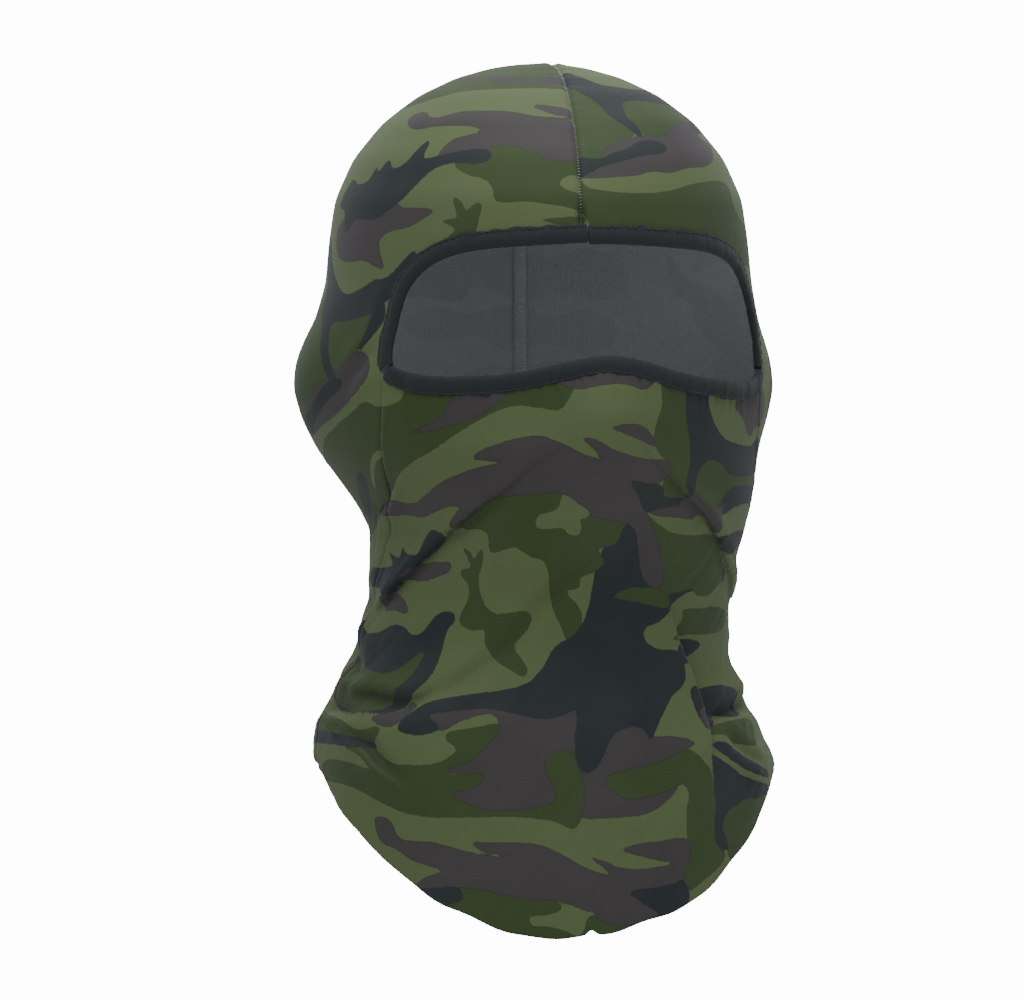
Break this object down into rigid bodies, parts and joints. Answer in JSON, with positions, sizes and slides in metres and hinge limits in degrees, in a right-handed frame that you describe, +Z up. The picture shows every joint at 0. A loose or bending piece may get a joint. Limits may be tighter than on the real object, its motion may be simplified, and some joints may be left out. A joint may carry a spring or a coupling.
{
  "type": "camo face mask",
  "caption": "Stretch-knit balaclava face mask in woodland camouflage, in its worn shape, with one bound eye opening and a rounded neck bib.",
  "frame": {"origin": "centre of the head that wears it, at the height of the eyes", "axes": "+Z up to the crown, -Y the way the face looks, +X to the wearer's left"},
  "size_m": [0.1946, 0.216, 0.3482],
  "materials": {
    "camo_knit": "matt four-colour woodland print on smooth two-way stretch knit",
    "binding_tape": "matt black folded knit tape",
    "elastic": "covered elastic",
    "binding_thread": "black polyester thread",
    "seam_thread": "grey overlock thread",
    "label_satin": "blank woven satin"
  },
  "bodies": {
    "root": {"hood_panel_left": "camo_knit", "hood_panel_right": "camo_knit", "face_bib_panel": "camo_knit", "eye_binding_right": "binding_tape", "eye_binding_left": "binding_tape", "eye_binding_lower": "binding_tape", "eye_elastic_right": "elastic", "eye_elastic_left": "elastic", "eye_elastic_lower": "elastic", "binding_stitch_right": "binding_thread", "binding_stitch_left": "binding_thread", "binding_stitch_lower": "binding_thread", "corner_tack_right": "binding_thread", "corner_tack_left": "binding_thread", "crown_seam_thread": "seam_thread", "side_seam_thread_right": "seam_thread", "side_seam_thread_left": "seam_thread", "care_label": "label_satin"}
  },
  "joints": []
}
